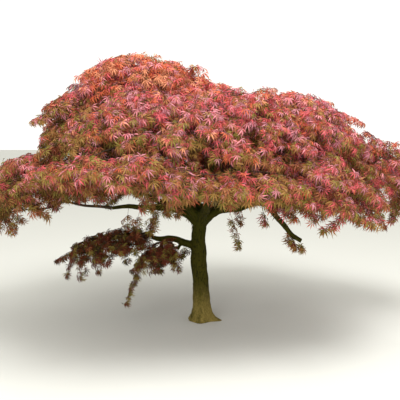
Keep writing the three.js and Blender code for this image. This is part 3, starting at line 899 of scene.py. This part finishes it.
def bark_group():
    """Shader group of the bark's colour: furrows darkened by painted shade, patches near the ground and moss
    about the fork.
    """
    tree = bpy.data.node_groups.new("Bark colour", "ShaderNodeTree")
    for title in BARK_TINTS:
        tree.interface.new_socket(title, in_out="INPUT", socket_type="NodeSocketColor")
    tree.interface.new_socket("Color", in_out="OUTPUT", socket_type="NodeSocketColor")
    tree.interface.new_socket("Height", in_out="OUTPUT", socket_type="NodeSocketFloat")
    entry = tree.nodes.new("NodeGroupInput")
    place = tree.nodes.new("ShaderNodeTexCoord").outputs["Object"]
    furrow = add_node(tree, "ShaderNodeAttribute", attribute_name="furrow").outputs["Fac"]
    mossy = add_node(tree, "ShaderNodeAttribute", attribute_name="moss").outputs["Fac"]
    scaling = {"Vector": place, "Scale": (1, 1, PATTERN.stretch)}
    stretched = add_node(tree, "ShaderNodeMapping", scaling).outputs[0]

    def noise_at(scale, vector=place):
        inputs = {"Vector": vector, "Scale": scale}
        inputs.update({"Detail": PATTERN.detail, "Roughness": PATTERN.roughness})
        return add_node(tree, "ShaderNodeTexNoise", inputs).outputs["Fac"]

    def ramp(value, low, high):
        inputs = {"Value": value, "From Min": low, "From Max": high}
        return add_node(tree, "ShaderNodeMapRange", inputs).outputs[0]

    def math_node(operation, a, b):
        return add_node(tree, "ShaderNodeMath", {0: a, 1: b}, operation=operation).outputs[0]

    def mix(share, a, b):
        return add_node(tree, "ShaderNodeMix", {0: share, 6: a, 7: b}, data_type="RGBA").outputs[2]

    fine = noise_at(PATTERN.fine, stretched)
    height = add_node(tree, "ShaderNodeSeparateXYZ", {0: place}).outputs["Z"]
    patches = ramp(noise_at(PATTERN.patches, stretched), *PATTERN.patchy)
    low_patches = math_node("MULTIPLY", patches, ramp(height, *PATTERN.near_ground))
    # Painted shade in the furrows, broken by the fine grain: the hollow tint where the bark lies in a furrow
    ridged = ramp(math_node("ADD", furrow, fine), *PATTERN.furrowed)
    colour = mix(ridged, entry.outputs["Hollow"], entry.outputs["Ridge"])
    # Paler patches, more of them towards the ground
    worn = math_node("MULTIPLY", low_patches, ramp(fine, *PATTERN.worn))
    colour = mix(worn, colour, entry.outputs["Pale"])
    green = math_node("MULTIPLY", mossy, ramp(noise_at(PATTERN.moss), *PATTERN.mossy))
    colour = mix(green, colour, entry.outputs["Moss"])
    add_node(tree, "NodeGroupOutput", {"Color": colour, "Height": fine})
    return tree


def bark_material(bark):
    """Rough bark of the trunk and boughs."""
    material, shader = new_material("Bark", FINISH.bark)
    tree = material.node_tree
    group = add_node(tree, "ShaderNodeGroup", node_tree=bark_group())
    for title in BARK_TINTS:
        group.inputs[title].default_value = (*getattr(bark, title.lower()), 1)
    tree.links.new(group.outputs["Color"], shader.inputs["Base Color"])
    relief = {"Distance": PATTERN.bump, "Strength": PATTERN.bump_strength}
    bump = add_node(tree, "ShaderNodeBump", {"Height": group.outputs["Height"], **relief})
    tree.links.new(bump.outputs[0], shader.inputs["Normal"])
    return material


# Trunk and boughs


def trunk_radii(line):
    """Radius of the trunk at each point of its line and each side, with the flare and root ridges."""
    height = np.maximum(line[:, 2], 0)[:, None]
    neck = np.clip((TRUNK.top - line[:, 2]) / TRUNK.neck, 0, 1)[:, None]
    plain = TRUNK.radius - TRUNK.taper * height + TRUNK.flare * np.exp(-height / TRUNK.flare_rise)
    angles = 360 * np.arange(TRUNK_SIDES)[None] / TRUNK_SIDES
    ridges = np.zeros((len(line), TRUNK_SIDES))
    for heading, reach, spread, rise in ROOTS:
        turn = (angles - heading + 180) % 360 - 180
        ridges = ridges + reach * np.exp(-((turn / spread) ** 2) - height / rise)
    return TRUNK.tip_radius + (plain - TRUNK.tip_radius) * np.sqrt(neck) + ridges


def trunk_line():
    """Axis of the trunk, from under the ground to its top."""
    levels = (-TRUNK.buried, *TRUNK.levels, TRUNK.top)
    return evenly(spline([trunk_axis(height) for height in levels]), TRUNK_POINTS)


def wood_mesh(grain):
    """Trunk and boughs as one closed mesh, blended where they meet."""
    points, faces = tube(trunk_line(), trunk_radii(trunk_line()), TRUNK_SIDES, outward(0))
    for limb in LIMBS.values():
        more, sides = tube(limb.line, limb_radii(limb), LIMB_SIDES, sideways(limb.heading))
        faces.extend(tuple(corner + len(points) for corner in side) for side in sides)
        points = np.vstack([points, more])
    obj = new_object("trunk_and_boughs", mesh_of("trunk_and_boughs", points, faces))
    remesh = obj.modifiers.new("Blend", "REMESH")
    remesh.mode = "VOXEL"
    remesh.voxel_size = grain
    smooth = obj.modifiers.new("Soften", "SMOOTH")
    smooth.factor = SOFTEN.factor
    smooth.iterations = SOFTEN.rounds
    return settle(obj)


def cut_level(obj):
    """Cuts an object off level with the ground and closes the cut."""
    shape = bmesh.new()
    shape.from_mesh(obj.data)
    everything = [*shape.verts, *shape.edges, *shape.faces]
    cut = bmesh.ops.bisect_plane(
        shape, geom=everything, plane_co=(0, 0, 0), plane_no=(0, 0, -1), clear_outer=True
    )["geom_cut"]
    rim = [part for part in cut if isinstance(part, bmesh.types.BMEdge)]
    bmesh.ops.contextual_create(shape, geom=rim)
    bmesh.ops.triangulate(shape, faces=[face for face in shape.faces if len(face.verts) > 4])
    shape.to_mesh(obj.data)
    shape.free()


def furrows_and_lumps(places, bark):
    """How far the bark rises at each place of the wood, and how far each place is out of a furrow."""
    axis = trunk_line()
    lines = [axis, *(limb.line for limb in LIMBS.values())]
    middles = np.vstack(lines)
    ways = np.vstack([directions(line) for line in lines])
    along = np.concatenate([np.linspace(0, 1, len(line)) * len(line) * RELIEF.spacing for line in lines])
    girths = np.concatenate([np.full(len(axis), TRUNK.radius), WOOD_RADII])
    tree = kdtree.KDTree(len(middles))
    for i, middle in enumerate(middles):
        tree.insert(middle, i)
    tree.balance()
    raised = np.zeros(len(places))
    clear = np.zeros(len(places))
    for v in range(len(places)):
        place = Vector(places[v])
        _, i, _ = tree.find(place)
        off = place - Vector(middles[i])
        way = Vector(ways[i])
        ahead = off.dot(way)
        round_about = (off - way * ahead) / RELIEF.furrow_width
        grain = noise.noise(round_about + way * ((along[i] + ahead) / RELIEF.furrow_length))
        furrow = max(1 - abs(grain) * RELIEF.sharpness, 0) ** 2
        lump = noise.noise(place * RELIEF.lumps)
        lump += RELIEF.small_share * noise.noise(place * RELIEF.small_lumps)
        grit = noise.noise(place * RELIEF.grit_scale) * RELIEF.grit
        thick = min(1.0, girths[i] / RELIEF.full_girth)
        raised[v] = thick * (lump * bark.swelling - furrow * bark.furrow + grit)
        clear[v] = 1 - furrow
    return raised, clear


def knots_rise(places):
    """How far the trunk's knots rise at each place, each with a hollow mouth."""
    raised = np.zeros(len(places))
    for heading, height, rise, reach in KNOTS:
        centre = trunk_axis(height) + outward(heading) * (TRUNK.radius - TRUNK.taper * height)
        near = np.linalg.norm(places - centre, axis=1) / reach
        mouth = KNOT_MOUTH.depth * np.exp(-((near / KNOT_MOUTH.width) ** 2))
        raised += rise * np.exp(-(near**2)) * (1 - mouth)
    return raised


def bark_relief(obj, bark):
    """Raises furrows, lumps and knots on the wood and notes where furrows and moss are."""
    mesh = obj.data
    places = np.zeros(len(mesh.vertices) * 3)
    mesh.vertices.foreach_get("co", places)
    places = places.reshape(-1, 3)
    normals = np.zeros(len(mesh.vertices) * 3, np.float32)
    mesh.vertex_normals.foreach_get("vector", normals)
    normals = normals.reshape(-1, 3)
    raised, clear = furrows_and_lumps(places, bark)
    raised += knots_rise(places)
    places = places + normals * raised[:, None]
    places[:, 2] = np.maximum(places[:, 2], 0)
    mesh.vertices.foreach_set("co", places.ravel())
    far = np.linalg.norm((places - np.array(MOSS.middle)) / MOSS.reach, axis=1)
    upward = np.clip(MOSS.level + MOSS.upward * normals[:, 2], 0, 1)
    # The furrow share marks where the bark colour paints shade in the furrows
    set_attribute(mesh, "furrow", "FLOAT", clear)
    set_attribute(mesh, "moss", "FLOAT", np.exp(-(far**2)) * upward)
    mesh.update()


class MAPLE_OT_wood(bpy.types.Operator):
    """Make the trunk and the boughs with their bark"""

    bl_idname = "maple.wood"
    bl_label = "Trunk and boughs"

    def execute(self, context):
        bark = settings("bark")
        obj = wood_mesh(bark.grain)
        cut_level(obj)
        bark_relief(obj, bark)
        obj.data.polygons.foreach_set("use_smooth", np.ones(len(obj.data.polygons), bool))
        obj.data.materials.append(bark_material(bark))
        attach(obj, BODY)
        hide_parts("trunk", *LIMBS)
        return {"FINISHED"}


# Twigs


def twig_tree(materials):
    """Geometry tree that gives lines their thickness."""
    tree, entry = new_tree("Twigs", {"Thickness": "NodeSocketFloat", "Sides": "NodeSocketInt"})
    lines = add_node(tree, "GeometryNodeMeshToCurve", {"Mesh": entry.outputs["Geometry"]})
    thick = add_node(
        tree, "ShaderNodeMath",
        {0: attribute(tree, "thickness", "FLOAT"), 1: entry.outputs["Thickness"]},
        operation="MULTIPLY",
    )
    ring = add_node(
        tree, "GeometryNodeCurvePrimitiveCircle",
        {"Resolution": entry.outputs["Sides"], "Radius": 1.0},
    )
    skin = add_node(
        tree, "GeometryNodeCurveToMesh",
        {
            "Curve": lines.outputs[0],
            "Profile Curve": ring.outputs[0],
            "Scale": thick.outputs[0],
            "Fill Caps": True,
        },
    )
    smooth = add_node(tree, "GeometryNodeSetShadeSmooth", {"Geometry": skin.outputs[0]})
    finish_tree(tree, smooth.outputs[0], materials)
    return tree


def line_object(name, lines, tint):
    """Object of loose lines with the thickness of each point."""
    counts = [len(line) for line, _ in lines]
    starts = np.concatenate([[0], np.cumsum(counts)[:-1]])
    firsts = np.concatenate([start + np.arange(count - 1) for start, count in zip(starts, counts)])
    edges = np.stack([firsts, firsts + 1], axis=1).tolist()
    mesh = mesh_of(name, np.vstack([line for line, _ in lines]), edges=edges)
    set_attribute(mesh, "thickness", "FLOAT", np.concatenate([radii for _, radii in lines]))
    set_attribute(mesh, "tint", "INT", np.full(sum(counts), tint))
    return new_object(name, mesh)


class MAPLE_OT_twigs(bpy.types.Operator):
    """Grow the branches and twigs of every mass of foliage"""

    bl_idname = "maple.twigs"
    bl_label = "Branches and twigs"

    def execute(self, context):
        twigs = settings("twigs")
        materials = [
            plain_material("Old wood", twigs.old, FINISH.old_wood),
            plain_material("Young wood", twigs.young, FINISH.young_wood),
        ]
        tree = twig_tree(materials)
        for name in PADS:
            mass = grow_mass(name)
            for kind, lines, sides, tint in (
                ("branches", mass.branches, twigs.branch_sides, 0),
                ("twigs", mass.twigs, twigs.twig_sides, 1),
            ):
                obj = line_object(f"{name}_{kind}", lines, tint)
                grow_with(obj, tree, {"Thickness": twigs.thickness, "Sides": sides})
                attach(obj, BODY)
        return {"FINISHED"}


# Leaves


def leaf_mesh(droop):
    """A leaf: narrow lobes that spread from one point and hang, one metre long."""
    points = [(0, 0, 0)]
    faces = []
    fall = math.radians(droop)
    middle = np.array([math.cos(fall), 0, -math.sin(fall)])
    normal = np.array([math.sin(fall), 0, math.cos(fall)])
    across = np.array([0.0, 1.0, 0.0])
    for angle, length, roll in LOBES:
        turn, tilt = math.radians(angle), math.radians(roll)
        way = middle * math.cos(turn) + across * math.sin(turn)
        side = across * math.cos(turn) - middle * math.sin(turn)
        half = (side * math.cos(tilt) + normal * math.sin(tilt)) * LEAF.half_width
        shoulder = way * length * LEAF.shoulder
        tip = way * length - normal * LEAF.curl * length - UP * LEAF.sag * length
        first = len(points)
        points.extend([shoulder - half, shoulder + half, tip])
        faces.extend([(0, first, first + 1), (first, first + 2, first + 1)])
    return mesh_of(f"leaf_{droop}", points, faces)


def leaf_shapes():
    """Hidden collection of leaf shapes, from the most level to the most hanging."""
    shapes = bpy.data.collections.new("leaf_shapes")
    for droop in LEAF_DROOPS:
        shapes.objects.link(bpy.data.objects.new(f"leaf_{droop}", leaf_mesh(droop)))
    return shapes


def leaf_tree(materials):
    """Geometry tree that sets a leaf on each point."""
    tree, entry = new_tree(
        "Leaves",
        {"Shapes": "NodeSocketCollection", "Length": "NodeSocketFloat", "Seed": "NodeSocketInt"},
    )
    shapes = add_node(
        tree, "GeometryNodeCollectionInfo",
        {"Collection": entry.outputs["Shapes"], "Separate Children": True, "Reset Children": True},
    )
    choice = add_node(
        tree, "FunctionNodeRandomValue", {4: 0, 5: len(LEAF_DROOPS) - 1, "Seed": entry.outputs["Seed"]},
        data_type="INT",
    )
    turn = add_node(
        tree, "FunctionNodeAxesToRotation",
        {
            "Primary Axis": attribute(tree, "ahead", "FLOAT_VECTOR"),
            "Secondary Axis": attribute(tree, "face", "FLOAT_VECTOR"),
        },
        primary_axis="X", secondary_axis="Z",
    )
    size = add_node(
        tree, "ShaderNodeMath", {0: attribute(tree, "size", "FLOAT"), 1: entry.outputs["Length"]},
        operation="MULTIPLY",
    )
    leaves = add_node(
        tree, "GeometryNodeInstanceOnPoints",
        {
            "Points": entry.outputs["Geometry"],
            "Instance": shapes.outputs[0],
            "Pick Instance": True,
            "Instance Index": choice.outputs[2],
            "Rotation": turn.outputs[0],
            "Scale": size.outputs[0],
        },
    )
    finish_tree(tree, leaves.outputs[0], materials)
    return tree


def spray_tints(mass, rng):
    """Tint of each leaf of a mass, dealt out by spray: painted light on top of the pad, painted shade under
    it.
    """
    light, shade = TINT_SHARES[getattr(mass.pad, "tints", mass.pad.tier)]
    targets = np.array([target for _, _, target in mass.sprays])
    height = (targets[:, 2] - targets[:, 2].min()) / np.ptp(targets[:, 2])
    towards = (targets - PAINTED_SUN.middle) @ unit(np.array(PAINTED_SUN.way)) / PAINTED_SUN.reach
    # Painted light: how lit each spray's tints are painted, by its place towards the painted sun and its
    # height in the pad
    lit = np.clip(0.5 + towards + PAINTED_SUN.depth * (height - 0.5), 0, 1)
    tints = []
    # Shares of the tints of painted light and of painted shade
    painted_light_shares = np.array([light.get(tint, 0) for tint in TINTS]) / sum(light.values())
    painted_shade_shares = np.array([shade.get(tint, 0) for tint in TINTS]) / sum(shade.values())
    for (places, _, _), share in zip(mass.sprays, lit):
        dealt = rng.choice(len(TINTS), p=lerp(painted_shade_shares, painted_light_shares, share))
        strays = rng.choice(len(TINTS), size=len(places), p=lerp(painted_shade_shares, painted_light_shares, share * STRAYS.lit))
        tints.append(np.where(rng.random(len(places)) < STRAYS.share, strays, dealt))
    return np.concatenate(tints)


def leaf_object(name, mass):
    """Object of the points that a mass's leaves stand on."""
    rng = np.random.default_rng(SEEDS.leaves + mass.pad.index)
    places = np.vstack([spray[0] for spray in mass.sprays])
    aheads = np.vstack([spray[1] for spray in mass.sprays])
    away = (places - mass.pad.axis) * np.array([1, 1, 0])
    faces = UP * LEAF.upward + unit(away) * LEAF.outward + rng.normal(0, LEAF.flutter, places.shape)
    mesh = mesh_of(name, places)
    set_attribute(mesh, "ahead", "FLOAT_VECTOR", aheads)
    set_attribute(mesh, "face", "FLOAT_VECTOR", faces)
    sizes = rng.uniform(*LEAF.varies, len(places)) * getattr(mass.pad, "leaf", 1)
    set_attribute(mesh, "size", "FLOAT", sizes)
    set_attribute(mesh, "tint", "INT", spray_tints(mass, rng))
    return new_object(name, mesh)


class MAPLE_OT_leaves(bpy.types.Operator):
    """Grow the leaves of every mass of foliage"""

    bl_idname = "maple.leaves"
    bl_label = "Leaves"

    def execute(self, context):
        leaves = settings("leaves")
        materials = [
            plain_material(f"Leaf {tint}", getattr(leaves, tint), FINISH.leaf) for tint in TINTS
        ]
        shapes = leaf_shapes()
        tree = leaf_tree(materials)
        for name in PADS:
            obj = leaf_object(f"{name}_leaves", grow_mass(name))
            grow_with(obj, tree, {"Shapes": shapes, "Length": leaves.length, "Seed": leaves.seed})
            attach(obj, BODY)
            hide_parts(f"{name}_foliage")
        for shape in list(shapes.objects):
            bpy.data.objects.remove(shape)
        bpy.data.collections.remove(shapes)
        return {"FINISHED"}


# Stage


def area_light(name, power, sizes):
    """Square soft light that faces the middle of the tree."""
    light = bpy.data.lights.new(name, "AREA")
    light.energy = power
    light.size = sizes.size
    obj = new_object(name, light)
    obj.location = sizes.place
    obj.rotation_euler = (Vector(LIGHT_TARGET) - obj.location).to_track_quat("-Z", "Y").to_euler()


class MAPLE_OT_stage(bpy.types.Operator):
    """Make the floor, the lights and the camera"""

    bl_idname = "maple.stage"
    bl_label = "Floor, light and camera"

    def execute(self, context):
        scene = context.scene
        stage = settings("stage")
        half = FLOOR_HALF
        corners = [(-half, -half, 0), (half, -half, 0), (half, half, 0), (-half, half, 0)]
        floor = new_object("floor", mesh_of("floor", corners, [(0, 1, 2, 3)]))
        floor.data.materials.append(plain_material("Floor", stage.floor, FINISH.floor))
        world = bpy.data.worlds.new("Soft light")
        world.use_nodes = True
        background = world.node_tree.nodes["Background"]
        background.inputs["Color"].default_value = (*stage.sky, 1)
        background.inputs["Strength"].default_value = stage.sky_strength
        scene.world = world
        area_light("key", stage.key_power, KEY)
        area_light("fill", stage.fill_power, FILL)
        data = bpy.data.cameras.new("camera")
        data.lens = stage.lens
        camera = new_object("camera", data)
        camera.location = stage.eye
        camera.rotation_euler = (math.pi / 2 - stage.pitch, 0, 0)
        scene.camera = camera
        scene.view_settings.view_transform = "Standard"
        return {"FINISHED"}


class MAPLE_PT_panel(bpy.types.Panel):
    """Panel that lists the maple's steps and settings"""

    bl_idname = "MAPLE_PT_panel"
    bl_label = "Weeping maple"
    bl_space_type = "VIEW_3D"
    bl_region_type = "UI"
    bl_category = "Maple"

    def draw(self, context):
        for name, group in GROUPS.items():
            box = self.layout.box()
            for key in group.__annotations__:
                box.prop(getattr(context.scene, f"maple_{name}"), key)
        for operator in OPERATORS:
            self.layout.operator(operator.bl_idname)


GROUPS = {"bark": MapleBark, "twigs": MapleTwigs, "leaves": MapleLeaves, "stage": MapleStage}
OPERATORS = (MAPLE_OT_wood, MAPLE_OT_twigs, MAPLE_OT_leaves, MAPLE_OT_stage)


def register():
    """Registers the classes and puts the settings on the scene."""
    for made in (*GROUPS.values(), *OPERATORS, MAPLE_PT_panel):
        bpy.utils.register_class(made)
    for name, group in GROUPS.items():
        setattr(bpy.types.Scene, f"maple_{name}", PointerProperty(type=group))


def unregister():
    """Takes the settings and the classes away again."""
    for name in GROUPS:
        delattr(bpy.types.Scene, f"maple_{name}")
    for made in (MAPLE_PT_panel, *OPERATORS, *GROUPS.values()):
        bpy.utils.unregister_class(made)


def main():
    """Builds the tree and its stage."""
    register()
    bpy.ops.maple.wood()
    bpy.ops.maple.twigs()
    bpy.ops.maple.leaves()
    bpy.ops.maple.stage()


if __name__ == "__main__":
    main()
